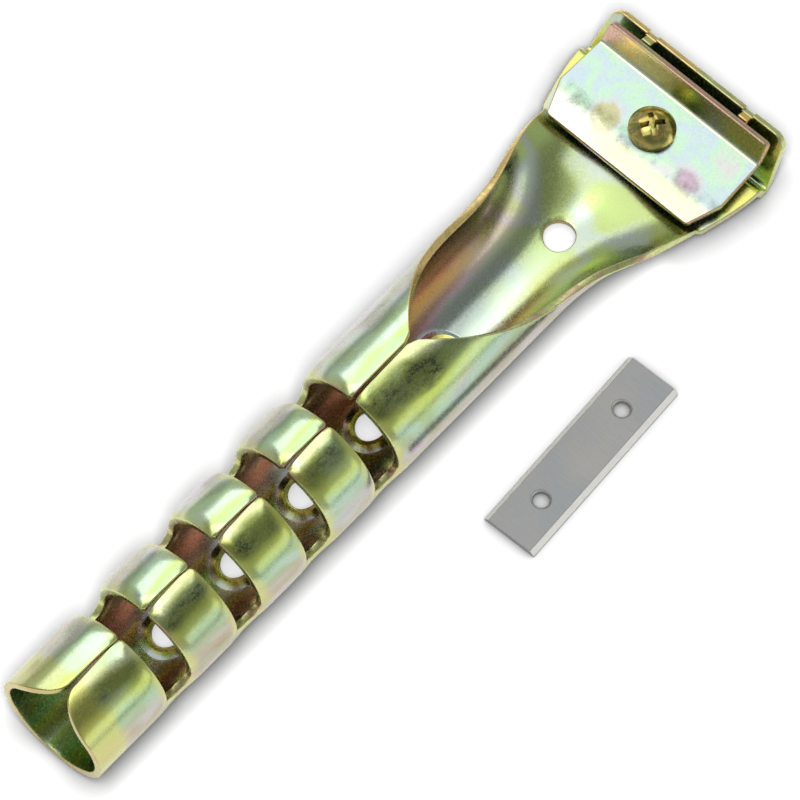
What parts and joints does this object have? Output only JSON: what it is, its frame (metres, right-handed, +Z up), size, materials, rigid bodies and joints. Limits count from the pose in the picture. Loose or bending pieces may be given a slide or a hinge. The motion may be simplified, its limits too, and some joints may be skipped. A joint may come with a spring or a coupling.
{
  "type": "paint scraper",
  "caption": "Rolled and pressed sheet steel paint scraper: finger-windowed tube handle, open neck, clamping jaw with plate and screw, loose double-edged carbide blade beside it.",
  "frame": {"origin": "Middle of the second finger window, on the narrow flat strip of the tube's back wall that the tool lies on", "axes": "+X along the tool from the tube's heel to the jaw, +Y across it, +Z up from the surface it lies on, out through the tube's seam"},
  "size_m": [0.2148, 0.0734, 0.0304],
  "materials": {
    "yellow_zinc": "iridescent yellow zinc plate",
    "zinc_screw": "yellow zinc plate",
    "ground_carbide": "ground grey carbide"
  },
  "bodies": {
    "body": {"handle_body": "yellow_zinc", "clamp_nut": "zinc_screw", "blade": "ground_carbide"},
    "clamp": {"clamp_plate": "yellow_zinc"},
    "screw": {"clamp_screw": "zinc_screw"}
  },
  "joints": [
    {"name": "clamp_lift", "type": "slide", "parent": "body", "child": "clamp", "axis": [0, 0, 1], "range_m": [0, 0.002]},
    {"name": "screw_turn", "type": "hinge", "parent": "clamp", "child": "screw", "pos_m": [0.1495, 0, 0.0099], "axis": [0, 0, 1], "range_deg": [0, 900]}
  ],
  "couplings": [
    {"joint": "screw_turn", "follows": "clamp_lift", "rad_per_m": 7854}
  ]
}
